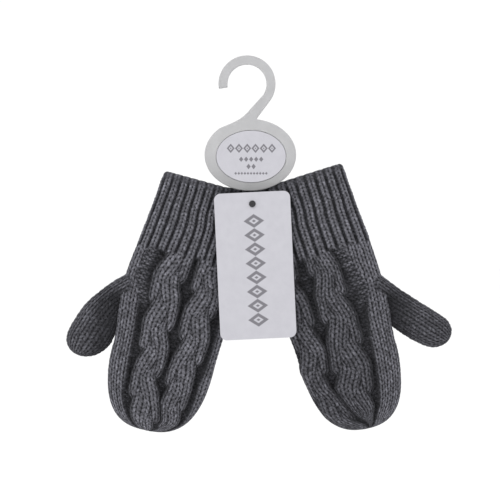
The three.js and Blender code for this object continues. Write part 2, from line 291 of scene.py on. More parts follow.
def strand_path(t):
    """Sideways place of a strand, -1 to 1, at place t of its period: out slowly, back quickly."""
    out, back, turn = 0.205, 0.105, 0.195
    return (
        smooth(0, out, t) - smooth(0.5 - turn, 0.5 - turn + back, t)
        - smooth(0.5, 0.5 + out, t) + smooth(1 - turn, 1 - turn + back, t)
    )


def plait(x, v, first_lobe, period, wales):
    """A plait of three strands: height, wale, row and edge shade."""
    strands, reach, half_strand, lift, body_high = 3, 3.5, 5.5, 0.7, 2.5
    front_at, widen, step, nowhere = 0.115, 0.2, 0.002, -9.0
    top = (np.full(x.shape, nowhere), *np.zeros((3, *x.shape)))
    for k in range(strands):
        t = ((v - first_lobe) / period + k / strands) % 1.0
        middle = reach * strand_path(t)
        slope = reach * (strand_path(t + step) - strand_path(t - step)) / (2 * step * period)
        over_now = np.cos(4 * math.pi * (t - front_at))
        half = half_strand + widen * over_now
        across = (x - middle) / np.sqrt(1 + slope**2) / half
        body = np.sqrt(np.clip(1 - across**2, 0, 1))
        high = lift * over_now + body_high * body**0.7
        high = np.where(np.abs(across) < 1, high, nowhere)
        turned = np.arcsin(np.clip(across, -1, 1)) / (math.pi / 2)
        wale = wales * (turned + 1) / 2 + 10 * k
        row = (v + slope * across * half) / ROW + 0.37 * k
        top = choose(high > top[0], (high, wale, row, body), top)
    return top


def rib_relief(x_ribs, v, share):
    """Single rib: height in mm, painted shading 0 to 1 (1 the yarn's own colour, 0 the darkest painted
    shade), ply and pick.

    x_ribs counts ribs, and share is the knit part of each.
    """
    low, ridge_high, stitch_high = -2.1, 1.55, 0.9
    gutter_low, gutter_high = -1.55, 0.5
    it = np.floor(x_ribs)
    ft = x_ribs - it
    d = (ft - 0.5) / 0.5
    ridge = np.sqrt(np.clip(1 - (d / share) ** 2, 0, 1))
    t = np.clip((ft - 0.5) / share + 0.5, 0.001, 0.999)
    h, ply, pick = knit_stitches(it + t, v / RIB_ROW, wale=RIB_WALE, row=RIB_ROW, spread=0.225)
    gutter, gutter_ply, gutter_pick = purl_stitches(x_ribs + 0.5, v / RIB_ROW)
    top = low + ridge_high * ridge**0.7 + stitch_high * h * smooth(0.05, 0.6, ridge)
    bottom = gutter_low + gutter_high * gutter
    ridge_painted_shading = smooth(-0.1, 0.9, ridge) * (0.15 + 0.85 * h)
    gutter_painted_shading = 0.06 + 0.42 * gutter
    return choose(
        top > bottom, (top, ridge_painted_shading, ply, pick), (bottom, gutter_painted_shading, gutter_ply, gutter_pick)
    )


def cuff_knit(mitten, x, v, pressed):
    """The ribbing of a cuff at x ribs round it and v down it, with its own unevenness."""
    seed = 50 + mitten["side"]
    place = x * RIB_PITCH
    sway = 0.07 * ripple(place, v, 30, seed) * (1 - pressed)
    rows = v + 0.3 * ripple(place, v, 14, seed + 1)
    relief, painted_shading, ply, pick = rib_relief(x + sway, rows, mitten["rib_share"])
    relief = (relief + 0.2 * ripple(place, v, 25, seed + 2)) * (1 - PRESS_CALM * pressed)
    return relief, painted_shading, ply, pick


def plain_relief(t, s, wale=WALE, row=ROW):
    """Plain knitting: height in mm, painted shading 0 to 1 (1 the yarn's own colour, 0 the darkest painted
    shade), ply and pick.
    """
    h, ply, pick = knit_stitches(t, s, wale, row)
    return 0.95 * h - 0.85, 0.08 + 0.92 * h, ply, pick


def back_relief(mitten, x, v, plain):
    """The cabled back of the hand: plaits between purl gutters, with plain bands at the sides."""
    gutter_low, plait_low, bed_high, bed_low = -2.3, -1.75, 1.2, -0.4
    purl, ply, pick = purl_stitches(x / PURL_WALE, v / ROW)
    low = np.interp(v, *zip(*mitten["band"]))
    shallow = smooth(26, 36, v) * smooth(72, 56, v) * smooth(-7, -2, x - low)
    relief = gutter_low + 0.7 * purl + 1.1 * shallow
    # Painted shade: the purl gutters are darkened, less where they are shallow.
    painted_shading = (0.04 + 0.46 * purl) * (1 + 0.7 * shallow)
    rise = smooth(low - 0.5, low + 1.0, x)
    shade = smooth(low + 0.2, low + 2.2, x)
    high = mitten["band_high"]
    rise = rise + smooth(high + 0.5, high - 1.0, x)
    shade = shade + smooth(high - 0.2, high - 2.2, x)
    relief = relief + (plain[0] - relief) * rise
    painted_shading = painted_shading + (plain[1] - painted_shading) * shade
    ply, pick = choose(rise > 0.5, plain[2:], (ply, pick))
    grown = 0.3 + 0.7 * smooth(0, 10, v + mitten["cuff_end"])
    depths, *swells = zip(*mitten["swell"])
    plaits = zip(mitten["plaits"], mitten["first_lobes"], mitten["strand_wales"], swells)
    for centre, first_lobe, wales, swell in plaits:
        across = (x - centre) / np.interp(v, depths, swell)
        high, wale, row, edge = plait(across, v, first_lobe, mitten["period"], wales)
        bed = bed_high * smooth(6.5, 4, np.abs(across)) + bed_low
        h, cable_ply, cable_pick = knit_stitches(wale, row, wale=CABLE_WALE, row=ROW)
        cable = (np.maximum(high, bed) + plait_low) * grown + 0.7 * h - 0.4 - 0.7 * (1 - grown)
        shade = smooth(-0.05, 0.95, edge) * (0.06 + 0.94 * h)
        shade = shade * np.interp(v, *zip(*mitten["cable_shade"]))
        strand = (cable, shade, cable_ply, cable_pick)
        relief, painted_shading, ply, pick = choose(cable > relief, strand, (relief, painted_shading, ply, pick))
    return relief, painted_shading, ply, pick


def box_mean(values, reach, axis):
    """The mean over `reach` grid cells to either side along one axis."""
    pad = [(0, 0), (0, 0)]
    pad[axis] = (reach + 1, reach)
    total = np.cumsum(np.pad(values, pad, mode="edge"), axis=axis)
    size = values.shape[axis]
    wide = 2 * reach + 1
    return (np.take(total, range(wide, wide + size), axis) - np.take(total, range(size), axis)) / wide


def sunken(relief):
    """0 to 1: how far each point lies below the fabric around it, where shade gathers."""
    around = relief
    for reach in (SHADE_REACH, SHADE_REACH // 2):
        for axis in (0, 1):
            around = box_mean(around, reach, axis)
    return np.clip((around - relief) / SHADE_DEPTH, 0, 1)


# ---- the mitten's macro shape ----

def edges(mitten, z):
    """Middle and half width of the hand at height z, in the mitten's own frame."""
    zs, inner, outer = (np.array(column, float) for column in zip(*reversed(mitten["outline"])))
    high = np.maximum(z, TIP_START)
    low_edge = through(zs, inner, high)
    high_edge = through(zs, outer, high)
    fraction = np.clip((TIP_START - z) / (TIP_START - mitten["tip"]), 0, TIP_END)
    narrow = (1 - fraction ** mitten["tip_power"]) ** (1 / mitten["tip_power"])
    middle = (low_edge + high_edge) / 2 + mitten["tip_lean"] * fraction
    half = (high_edge - low_edge) / 2 * narrow
    return middle, half


def skin(mitten, z, theta, inset):
    """Points of the macro skin in the mitten's own frame: x outward, y back, z up the hand."""
    fraction = np.clip((TIP_START - z) / (TIP_START - mitten["tip"]), 0, TIP_END)
    z = z + inset * smooth(0, 1, fraction)
    middle, half = edges(mitten, z)
    half = np.maximum(half - inset, HALF_WIDTH_MIN)
    thin = 1 - THINNING * smooth(THIN_FROM, mitten["tip"], z)
    thin = thin * (1 - fraction**ROUND_POWER) ** ROUND_ROOT
    slope = mitten["cuff_slope"] * smooth(SLANT_FROM, SLANT_TO, z)
    power = 2 / SECTION_POWER
    cos, sin = np.cos(theta), np.sin(theta)
    x = middle + half * np.sign(cos) * np.abs(cos) ** power
    gathered = smooth(0, mitten["cuff_top"], z) * smooth(GATHER_FROM, GATHER_TO, np.abs(x))
    height = z + slope * (x - middle) + GATHER * gathered
    pressed = 1 - smooth(PRESS_INNER, PRESS_OUTER, np.hypot(x, height))
    pressed_half = SLOT_HALF if inset > 0 else PRESS_HALF
    full_half = (HALF_THICK - inset) * thin
    depth = (full_half + (pressed_half - full_half) * pressed) * np.sign(sin) * np.abs(sin) ** power
    y = MID_Y + (mitten["pressed_y"] - MID_Y) * pressed - depth
    return np.stack(np.broadcast_arrays(x, y, height), -1), pressed


def even_angles(mitten, z, fractions, start, end):
    """Angles that divide the arc from start to end at each height evenly in length."""
    fine = np.linspace(start, end, 500)
    points, _ = skin(mitten, z[:, None], fine[None, :], 0)
    steps = np.linalg.norm(np.diff(points, axis=1), axis=2)
    length = np.concatenate([np.zeros((len(z), 1)), np.cumsum(steps, axis=1)], axis=1)
    length = length / length[:, -1:]
    return np.stack([np.interp(fractions, row, fine) for row in length])


def to_row(mitten, points):
    """From the mitten's own frame to the row frame, still in millimetres."""
    tilt = math.radians(mitten["tilt"])
    x, y, z = points[..., 0], points[..., 1], points[..., 2]
    return np.stack([
        PIN_X + mitten["side"] * (x * math.cos(tilt) - z * math.sin(tilt)),
        y,
        PIN_Z + x * math.sin(tilt) + z * math.cos(tilt),
    ], -1)


def normals_of(points, wrap=False):
    """Unit normals of a grid of points, as the cross product of its two directions."""
    if wrap:
        across = np.roll(points, -1, axis=1) - np.roll(points, 1, axis=1)
    else:
        across = np.gradient(points, axis=1)
    down = np.gradient(points, axis=0)
    n = np.cross(across, down)
    return n / np.maximum(np.linalg.norm(n, axis=2, keepdims=True), 1e-9)


# ---- meshes ----

def add_object(name, data):
    """A new object in the scene."""
    obj = bpy.data.objects.new(name, data)
    bpy.context.collection.objects.link(obj)
    return obj


def mesh_object(name, vertices, faces, material, attributes=None):
    """A mesh object from vertices in millimetres and a list of arrays of equal-sided faces."""
    faces = [np.asarray(f, np.int32) for f in faces if len(f)]
    totals = np.concatenate([np.full(len(f), f.shape[1], np.int32) for f in faces])
    corners = np.concatenate([f.ravel() for f in faces])
    starts = np.concatenate([[0], np.cumsum(totals)[:-1]]).astype(np.int32)
    mesh = bpy.data.meshes.new(name)
    mesh.vertices.add(len(vertices))
    mesh.vertices.foreach_set("co", (np.asarray(vertices, np.float32) * MM).ravel())
    mesh.loops.add(len(corners))
    mesh.loops.foreach_set("vertex_index", corners)
    mesh.polygons.add(len(totals))
    mesh.polygons.foreach_set("loop_start", starts)
    mesh.polygons.foreach_set("loop_total", totals)
    mesh.update(calc_edges=True)
    mesh.validate()
    mesh.shade_smooth()
    for key, values in (attributes or {}).items():
        layer = mesh.attributes.new(key, "FLOAT", "POINT")
        layer.data.foreach_set("value", np.asarray(values, np.float32))
    mesh.materials.append(material)
    return add_object(name, mesh)


def quads(rows, cols, base=0, wrap=False, flip=False):
    """Faces of a grid of vertices numbered from base. wrap closes its columns into a ring."""
    i = np.arange(rows - 1)[:, None]
    j = np.arange(cols if wrap else cols - 1)[None, :]
    a = base + i * cols + j
    b = base + i * cols + (j + 1) % cols
    q = np.stack(np.broadcast_arrays(a, a + cols, b + cols, b), -1).reshape(-1, 4)
    return q[:, ::-1] if flip else q


def shell(outer, inner, wrap):
    """Vertices and faces of a closed shell: a fine outer grid, a coarse inner one, and the rim."""
    rows, cols = outer.shape[:2]
    inner_rows, inner_cols = inner.shape[:2]
    base = rows * cols
    faces = [quads(rows, cols, 0, wrap), quads(inner_rows, inner_cols, base, wrap, flip=True)]

    def rim(fine, coarse, flip):
        ring = []
        for k in range(len(coarse) - 1):
            ring.append([*fine[k * COARSE:(k + 1) * COARSE + 1], coarse[k + 1], coarse[k]])
        ring = np.array(ring)
        return ring[:, ::-1] if flip else ring

    def line(first, count):
        return [*range(first, first + count)] + [first] * wrap

    faces.append(rim(line(0, cols), line(base, inner_cols), flip=False))
    last, inner_last = (rows - 1) * cols, base + (inner_rows - 1) * inner_cols
    faces.append(rim(line(last, cols), line(inner_last, inner_cols), flip=True))
    if not wrap:
        fine = np.arange(rows) * cols
        coarse = base + np.arange(inner_rows) * inner_cols
        faces.append(rim(fine, coarse, flip=True))
        faces.append(rim(fine + cols - 1, coarse + inner_cols - 1, flip=False))
    return np.concatenate([outer.reshape(-1, 3), inner.reshape(-1, 3)]), faces


def whole(count):
    """The next count of grid points that the lining's coarser grid divides."""
    return math.ceil((count - 1) / COARSE) * COARSE + 1


def knit_object(name, mitten, outer, inner, relief, painted_shading, ply, pick, wrap, material, lift=0.0):
    """Raises the stitches off the macro skin and closes the piece with its lining.

    lift raises the piece's outline as well, where it faces sideways.
    """
    facing = normals_of(outer, wrap)
    # The grid's normals may point in or out: outward is -1 or 1 for that.
    outward = np.sign(np.sum(facing * (outer - outer.mean(axis=(0, 1)))))
    lifted = relief + lift * (1 - facing[..., 1] ** 2)
    raised = outer + outward * facing * lifted[..., None]
    vertices, faces = shell(raised, inner, wrap)
    if mitten["side"] * outward > 0:
        faces = [np.asarray(f)[:, ::-1] for f in faces]
    rest = inner.shape[0] * inner.shape[1]
    layers = zip(("painted_shading", "ply", "pick"), (painted_shading, ply, pick), LINING_LOOK)
    attributes = {key: np.append(values, np.full(rest, hidden)) for key, values, hidden in layers}
    return mesh_object(name, to_row(mitten, vertices), faces, material, attributes)


# ---- pieces of a mitten ----

def hand_heights(mitten):
    """Row heights from the cuff to the tip, evenly spaced along the fabric, and the fabric length."""
    z = np.concatenate([
        np.linspace(mitten["cuff_end"] + OVERLAP, TIP_START, 400)[:-1],
        TIP_START + (mitten["tip"] - TIP_START) * TIP_END * np.sin(np.linspace(0, math.pi / 2, 900)),
    ])
    _, half = edges(mitten, z)
    down = np.abs(np.diff(z))
    along = 0.55 * down + 0.45 * np.hypot(down, np.diff(half))
    length = np.concatenate([[0], np.cumsum(along)])
    count = whole(int(length[-1] / GRID))
    v = np.linspace(0, length[-1], count)
    return np.interp(v, length, z), v - mitten["cuff_end"]


def pattern_place(mitten, f, depth):
    """Where each fraction f across the hand falls in the knitted pattern, at each depth down it."""
    depths, *places = (np.array(column) for column in zip(*mitten["places"]))
    knots = np.stack([np.interp(depth, depths, place) for place in places], 1)
    goals = (0, *mitten["gutters"], PATTERN)
    return np.stack([np.interp(f, (0, *row, 1), goals) for row in knots])


def hand_panel(name, mitten, front, material):
    """The cabled back of the hand, or the plain palm, with its top edge in the cuff's ribbing."""
    z, v = hand_heights(mitten)
    cols = whole(int(HAND_GIRTH / GRID))
    f = np.linspace(0, 1, cols)
    start, end = (math.pi, 0) if front else (math.pi, 2 * math.pi)
    theta = even_angles(mitten, z, f, start, end)
    outer, _ = skin(mitten, z[:, None], theta, 0)
    inner, _ = skin(mitten, z[::COARSE, None], theta[::COARSE, ::COARSE], LINING)
    seed = 20 + mitten["side"] + (5 if front else 0)
    x = pattern_place(mitten, f, -z)
    v2 = np.broadcast_to(v[:, None], outer.shape[:2])
    x = x + (0.4 * ripple(x, v2, 22, seed) + 0.16 * ripple(x, v2, 6, seed + 3)) * np.sin(math.pi * f)
    v2 = v2 + 0.4 * ripple(x, v2, 18, seed + 1) + 0.18 * ripple(x, v2, 6, seed + 4)
    plain = plain_relief((PATTERN - x) / WALE, v2 / ROW)
    relief, painted_shading, ply, pick = back_relief(mitten, x, v2, plain) if front else plain
    _, half = edges(mitten, z)
    shrink = np.clip(half / 14, 0.25, 1)[:, None]
    relief = relief * shrink + 0.25 * ripple(x, v2, 30, seed + 2) * shrink
    if front:
        closed = 0.8 * smooth(6, 1.5, v2.max() - v2)
        relief = np.maximum(relief, relief + (plain[0] - 0.3 - relief) * closed)
        painted_shading = np.maximum(painted_shading, plain[1] * closed * 0.8)
    rib_x = np.broadcast_to((f if front else 2 - f) * mitten["ribs"] + 0.5, x.shape)
    down = np.broadcast_to(v[:, None], x.shape)
    begun = smooth(1.6, 5.0, down + mitten["cuff_end"] + 1.1 * ripple(rib_x * RIB_PITCH, down, 9, seed + 6))
    ribbed = cuff_knit(mitten, rib_x, down, 0)
    relief = ribbed[0] + (relief - ribbed[0]) * begun
    painted_shading = ribbed[1] + (painted_shading - ribbed[1]) * begun
    ply, pick = choose(begun > 0.5, (ply, pick), ribbed[2:])
    side = np.minimum(x, PATTERN - x)
    painted_shading = painted_shading * (1 - SHADE_SHARE * sunken(relief))
    near_tip = smooth(-85, -115, z)[:, None]
    relief = relief + (SIDE_JOIN - relief) * 0.8 * smooth(-119, -129.5, z)[:, None]
    relief = relief + (SIDE_JOIN - relief) * np.maximum(
        smooth(1.6, 0, side) * begun, 0.75 * near_tip * smooth(7, 1.5, side)
    )
    if not front:
        outer, inner = outer[:, ::-1], inner[:, ::-1]
        relief, painted_shading, ply, pick = (a[:, ::-1] for a in (relief, painted_shading, ply, pick))
    return knit_object(name, mitten, outer, inner, relief, painted_shading, ply, pick, False, material, EDGE_LIFT)


def cuff(name, mitten, material):
    """The ribbed cuff: up the outside, over the soft top edge and a little way down inside."""
    cols = round(CUFF_GIRTH / GRID / (2 * COARSE)) * 2 * COARSE
    outside = np.arange(mitten["cuff_end"] - OVERLAP, mitten["cuff_top"] - LIP, GRID)
    z = outside[::-1]
    lip_steps, inside_steps = 12, 26
    fractions = np.linspace(0, 1, cols // 2, endpoint=False)
    front_angles = even_angles(mitten, z, fractions, math.pi, 0)
    palm_angles = even_angles(mitten, z, fractions, 0, -math.pi)
    theta = np.concatenate([front_angles, palm_angles], axis=1)
    out, pressed = skin(mitten, z[:, None], theta, 0)
    lining, _ = skin(mitten, z[:, None], theta, LINING)
    centre = (out[0] + lining[0]) / 2
    up = np.array([0, 0, 1.0])
    lip = np.array([
        centre + (lining[0] - centre) * math.cos(a) + up * (LIP + LIP_RISE) * math.sin(a)
        for a in np.linspace(0, math.pi, lip_steps)[1:-1]
    ])
    rows = np.concatenate([lining[:inside_steps][::-1], lip, out])
    calm = np.concatenate([
        np.full(inside_steps, INSIDE_CALM), np.full(len(lip), LIP_CALM),
        LIP_CALM + (1 - LIP_CALM) * smooth(0, 10, np.arange(len(out))),
    ])
    count = (len(rows) - 1) // COARSE * COARSE + 1
    rows = rows[len(rows) - count:]
    calm = calm[len(calm) - count:, None]
    press = np.concatenate([np.repeat(pressed[:1], len(rows) - len(out), 0), pressed])
    steps = np.linalg.norm(np.diff(rows, axis=0), axis=2).mean(axis=1)
    v = np.concatenate([[0], np.cumsum(steps)])
    v = v - v[-1] - mitten["cuff_end"]
    inner_z = np.linspace(z[inside_steps] - 0.3, z[-1], (count - 1) // COARSE + 1)
    inner_theta = np.stack([
        np.interp(inner_z, z[::-1], theta[::-1, j]) for j in range(0, cols, COARSE)
    ], 1)
    inner, _ = skin(mitten, inner_z[:, None], inner_theta, LINING + 0.1)
    ribs = 2 * mitten["ribs"]
    x = np.broadcast_to(np.arange(cols) / cols * ribs, rows.shape[:2]) + 0.5
    v2 = np.broadcast_to(v[:, None], rows.shape[:2])
    relief, painted_shading, ply, pick = cuff_knit(mitten, x, v2, press)
    relief = LIP_SINK + (relief - LIP_SINK) * calm
    inside_and_lip = np.zeros((len(rows) - len(out), cols))
    facing = np.concatenate([inside_and_lip, np.clip(2 * np.sin(theta), 0, 1)])
    relief = relief - PLATE_CLEARANCE * facing * smooth(CLEAR_FROM, CLEAR_TO, v2)
    painted_shading = LIP_SHADE + (painted_shading - LIP_SHADE) * calm**0.35
    return knit_object(name, mitten, rows, inner, relief, painted_shading, ply, pick, True, material, EDGE_LIFT)


def thumb_rings(mitten, us, theta, inset):
    """Macro rings of the thumb at places us along it (below 0 inside the hand) and angles theta."""
    sizes = mitten["thumb"]
    stations = np.linspace(0, 1, len(sizes["centre"]))
    xs, zs = np.array(sizes["centre"], float).T
    u = np.clip(us, 0, 1)
    x = through(stations, xs, u)
    z = through(stations, zs, u)
    width = through(stations, sizes["width"], u)
    turn = np.radians(through(stations, sizes["turn"], u))
    path = np.hypot(np.gradient(x), np.gradient(z))
    from_end = np.cumsum(path[::-1])[::-1] - path[-1]
    short_of_end = 1 - np.clip(from_end / THUMB_CAP, 0, 1)
    round_off = np.sqrt(np.clip(1 - short_of_end**2, THUMB_BLUNT, 1))
    inside = np.clip(-us, 0, 1)
    root_thick = 0.9 * smooth(0.35, 0.05, u)
    half_y = (THUMB_HALF_THICK + root_thick - inset) * (1 - 0.55 * inside) * round_off**0.8
    half_w = (width - inset) * round_off * (1 - 0.12 * inside)
    along = half_w[:, None] * np.cos(theta)
    depth = half_y[:, None] * np.sin(theta)
    px = x[:, None] - 10 * inside[:, None] + along * np.sin(turn)[:, None]
    pz = z[:, None] + along * np.cos(turn)[:, None]
    hug = THUMB_HUG * smooth(0.12, 0.3, u) * smooth(0.97, 0.75, u)
    px = px + np.minimum(np.cos(theta), 0) * hug[:, None]
    tucked = smooth(-57, -66, pz) * smooth(78, 60, px)
    front = np.maximum(depth, 0) * (1 - 0.8 * tucked) + np.minimum(depth, 0)
    return np.stack([px, MID_Y - front + THUMB_TUCK * tucked, pz], -1), tucked


def thumb(name, mitten, material):
    """The plain knitted thumb, from inside the hand's side to its round tip."""
    cols = round(THUMB_GIRTH / GRID / COARSE) * COARSE
    fine = np.concatenate([np.linspace(-1, 0, 200)[:-1], np.sin(np.linspace(0, math.pi / 2, 900))])
    theta = np.linspace(0, 2 * math.pi, cols, endpoint=False)[None, :]
    spine, _ = thumb_rings(mitten, fine, np.array([[math.pi / 2, 0, math.pi]]), 0)
    steps = np.linalg.norm(np.diff(spine, axis=0), axis=2).mean(axis=1)
    length = np.concatenate([[0], np.cumsum(steps)])
    count = whole(int(length[-1] / GRID))
    v = np.linspace(0, length[-1], count)
    us = np.interp(v, length, fine)
    outer, tucked = thumb_rings(mitten, us, theta, 0)
    inner, _ = thumb_rings(mitten, us[::COARSE], theta[:, ::COARSE], THUMB_LINING)
    x = np.broadcast_to(np.arange(cols) / cols * THUMB_WALES, outer.shape[:2])
    v2 = np.broadcast_to(v[:, None], outer.shape[:2])
    seed = 80 + mitten["side"]
    v2 = v2 + 0.3 * ripple(x * THUMB_WALE, v2, 14, seed)
    relief, painted_shading, ply, pick = plain_relief(x, v2 / THUMB_ROW, THUMB_WALE, THUMB_ROW)
    in_shade = 1 - 0.55 * tucked * (np.sin(theta) > 0)
    painted_shading = mitten["thumb"]["shade"] * (0.1 + 0.85 * painted_shading) * in_shade
    shrink = np.clip((length[-1] - v) / 6, 0.2, 1)[:, None]
    relief = relief * shrink + 0.3 * ripple(x * THUMB_WALE, v2, 16, seed + 1) * shrink
    return knit_object(name, mitten, outer, inner, relief, painted_shading, ply, pick, True, material)


# ---- materials ----

def new_material(name):
    """A new material, its node tree and its shader."""
    material = bpy.data.materials.new(name)
    material.use_nodes = True
    return material, material.node_tree, material.node_tree.nodes["Principled BSDF"]


def node(tree, kind, **values):
    """A new node. values set its sockets by name, and otherwise its own settings."""
    n = tree.nodes.new(kind)
    for key, value in values.items():
        if key in n.inputs:
            n.inputs[key].default_value = value
        else:
            setattr(n, key.lower(), value)
    return n


def maths(tree, operation, a, b=None):
    """The output of a Math node on sockets or plain numbers."""
    n = tree.nodes.new("ShaderNodeMath")
    n.operation = operation
    for socket, value in zip(n.inputs, (a, b)):
        if value is None:
            continue
        if isinstance(value, (int, float)):
            socket.default_value = value
        else:
            tree.links.new(value, socket)
    return n.outputs[0]


def ramp(tree, factor, stops):
    """A colour ramp over factor. stops holds (place, colour) pairs, both end ones first."""
    n = tree.nodes.new("ShaderNodeValToRGB")
    for i, (place, colour) in enumerate(stops):
        stop = n.color_ramp.elements[i] if i < 2 else n.color_ramp.elements.new(place)
        stop.position = place
        stop.color = (*colour, 1)
    tree.links.new(factor, n.inputs["Fac"])
    return n.outputs["Color"]


def settings(target, **values):
    """Sets sockets of a node by name, with _ for a space."""
    for key, value in values.items():
        target.inputs[key.replace("_", " ")].default_value = value


def noise(tree, place, scale, detail, roughness=0.5):
    """The value of a noise texture at a place."""
    n = node(tree, "ShaderNodeTexNoise", Scale=scale, Detail=detail, Roughness=roughness)
    tree.links.new(place, n.inputs["Vector"])
    return n.outputs["Fac"]


def emboss(tree, shader, height, strength, distance):
    """Bumps a shader's surface by a height."""
    bump = node(tree, "ShaderNodeBump", Strength=strength, Distance=distance)
    tree.links.new(height, bump.inputs["Height"])
    tree.links.new(bump.outputs["Normal"], shader.inputs["Normal"])


MIX_A, MIX_B, MIX_RESULT = 6, 7, 2


def multiply(tree, a, b):
    """Two colours multiplied."""
    n = tree.nodes.new("ShaderNodeMix")
    n.data_type = "RGBA"
    n.blend_type = "MULTIPLY"
    n.inputs["Factor"].default_value = 1.0
    tree.links.new(a, n.inputs[MIX_A])
    tree.links.new(b, n.inputs[MIX_B])
    return n.outputs[MIX_RESULT]


def knit_material():
    """Charcoal heather yarn: painted shade between the stitches, flecked along them, with a soft nap."""
    material, tree, shader = new_material("charcoal_knit")
    painted_shading, ply, pick = (
        node(tree, "ShaderNodeAttribute", attribute_name=key).outputs["Fac"]
        for key in ("painted_shading", "ply", "pick")
    )
    place = node(tree, "ShaderNodeTexCoord").outputs["Object"]

    # Painted shade: the colour runs from the yarn's own charcoal on the stitch tops to near black in the gaps
    # and hollows.
    base = ramp(tree, painted_shading, [
        (0.0, (0.005, 0.005, 0.006)), (1.0, (0.140, 0.139, 0.154)), (0.5, (0.036, 0.036, 0.040)),
    ])
    flecks = noise(tree, place, 1900, 3, 0.7)
    fleck = ramp(tree, flecks, [(0.3, (0.5, 0.5, 0.51)), (0.72, (1.6, 1.6, 1.62))])
    patches = noise(tree, place, 850, 2, 0.6)
    heather = ramp(tree, patches, [(0.32, (0.55, 0.55, 0.55)), (0.68, (1.5, 1.5, 1.52))])
    stitch = ramp(tree, pick, [(0.0, (0.74, 0.74, 0.74)), (1.0, (1.24, 1.24, 1.25))])
    colour = multiply(tree, multiply(tree, multiply(tree, base, fleck), heather), stitch)
    tree.links.new(colour, shader.inputs["Base Color"])
    settings(shader, Roughness=0.92, Specular_IOR_Level=0.18)
    settings(shader, Sheen_Weight=0.12, Sheen_Roughness=0.55, Sheen_Tint=(0.55, 0.56, 0.6, 1))
    twist = maths(tree, "SINE", maths(tree, "MULTIPLY", ply, 9.0))
    fuzz = maths(tree, "MULTIPLY", noise(tree, place, 3800, 2, 0.6), 1.6)
    height = maths(tree, "ADD", maths(tree, "MULTIPLY", twist, 0.35), fuzz)
    emboss(tree, shader, height, 0.55, 0.00025)
    return material


def within(tree, value, limit, soft):
    """1 where value is below limit, falling to 0 over `soft`."""
    n = tree.nodes.new("ShaderNodeMapRange")
    n.interpolation_type = "SMOOTHSTEP"
    settings(n, From_Min=limit + soft, From_Max=limit)
    tree.links.new(value, n.inputs["Value"])
    return n.outputs["Result"]


def diamonds(tree, along, across, start, count, pitch, half_along, half_across, ring):
    """Ink of a row of diamonds. along and across are sockets in millimetres."""
    turn = maths(tree, "DIVIDE", maths(tree, "SUBTRACT", along, start), pitch)
    place = maths(tree, "SUBTRACT", maths(tree, "FRACT", turn), 0.5)
    a = maths(tree, "DIVIDE", maths(tree, "ABSOLUTE", maths(tree, "MULTIPLY", place, pitch)), half_along)
    b = maths(tree, "DIVIDE", maths(tree, "ABSOLUTE", across), half_across)
    metric = maths(tree, "ADD", a, b)
    ink = within(tree, metric, 0.9, 0.08)
    if ring:
        hollow = maths(tree, "SUBTRACT", 1.0, within(tree, metric, 0.42, 0.08))
        dot = within(tree, metric, 0.16, 0.06)
        ink = maths(tree, "MULTIPLY", ink, maths(tree, "MAXIMUM", hollow, dot))
    middle = maths(tree, "ABSOLUTE", maths(tree, "SUBTRACT", turn, count / 2))
    return maths(tree, "MULTIPLY", ink, within(tree, middle, count / 2 - 0.001, 0.001))


def card_material(name, origin, lean, rows):
    """Coated card: faint mottle and fibres, and rows of grey diamonds printed on it.

    Each row is (runs down, offset, start, count, pitch, half length, half width, ringed), in mm.
    """
    material, tree, shader = new_material(name)
    link = tree.links.new
    place = node(tree, "ShaderNodeTexCoord").outputs["Object"]

    def along(x, z):
        n = node(tree, "ShaderNodeVectorMath", operation="DOT_PRODUCT")
        link(place, n.inputs[0])
        n.inputs[1].default_value = (x / MM, 0, z / MM)
        return maths(tree, "SUBTRACT", n.outputs["Value"], origin[0] * x + origin[1] * z)

    cos, sin = math.cos(math.radians(lean)), math.sin(math.radians(lean))
    right, down = along(cos, sin), along(sin, -cos)
    ink = None
    for vertical, offset, start, count, pitch, half_along, half_across, ring in rows:
        one, other = (down, right) if vertical else (right, down)
        across = maths(tree, "SUBTRACT", other, offset)
        layer = diamonds(tree, one, across, start, count, pitch, half_along, half_across, ring)
        ink = layer if ink is None else maths(tree, "MAXIMUM", ink, layer)
    mottle = noise(tree, place, 240, 4, 0.6)
    paper = ramp(tree, mottle, [(0.2, (0.485, 0.48, 0.52)), (0.8, (0.53, 0.525, 0.565))])
    n = tree.nodes.new("ShaderNodeMix")
    n.data_type = "RGBA"
    link(ink, n.inputs["Factor"])
    link(paper, n.inputs[MIX_A])
    n.inputs[MIX_B].default_value = (0.185, 0.18, 0.2, 1)
    link(n.outputs[MIX_RESULT], shader.inputs["Base Color"])
    settings(shader, Roughness=0.55, Specular_IOR_Level=0.35)
    emboss(tree, shader, noise(tree, place, 2600, 2), 0.12, 0.0001)
    return material


def plastic_material(name, low, high, transmission, roughness, grain_scale, dim=None):
    """Moulded plastic: cloudy colour, matt grain and some light through it.

    dim holds the heights where a painted shade begins and where it is full, and that shade: the colour is
    painted darker downwards.
    """
    material, tree, shader = new_material(name)
    link = tree.links.new
    place = node(tree, "ShaderNodeTexCoord").outputs["Object"]
    colour = ramp(tree, noise(tree, place, 90, 3, 0.6), [(0.25, low), (0.75, high)])
    if dim:
        top, bottom, shade = dim
        split = node(tree, "ShaderNodeSeparateXYZ")
        link(place, split.inputs[0])
        above = maths(tree, "SUBTRACT", split.outputs["Z"], bottom * MM)
        height = maths(tree, "DIVIDE", above, (top - bottom) * MM)
        colour = multiply(tree, colour, ramp(tree, height, [(0.0, (shade,) * 3), (1.0, (1, 1, 1))]))
    link(colour, shader.inputs["Base Color"])
    settings(shader, Roughness=roughness, Transmission_Weight=transmission, IOR=1.45)
    emboss(tree, shader, noise(tree, place, grain_scale, 2), 0.2, 0.0001)
    return material


# ---- hanger, label, tag and pin ----

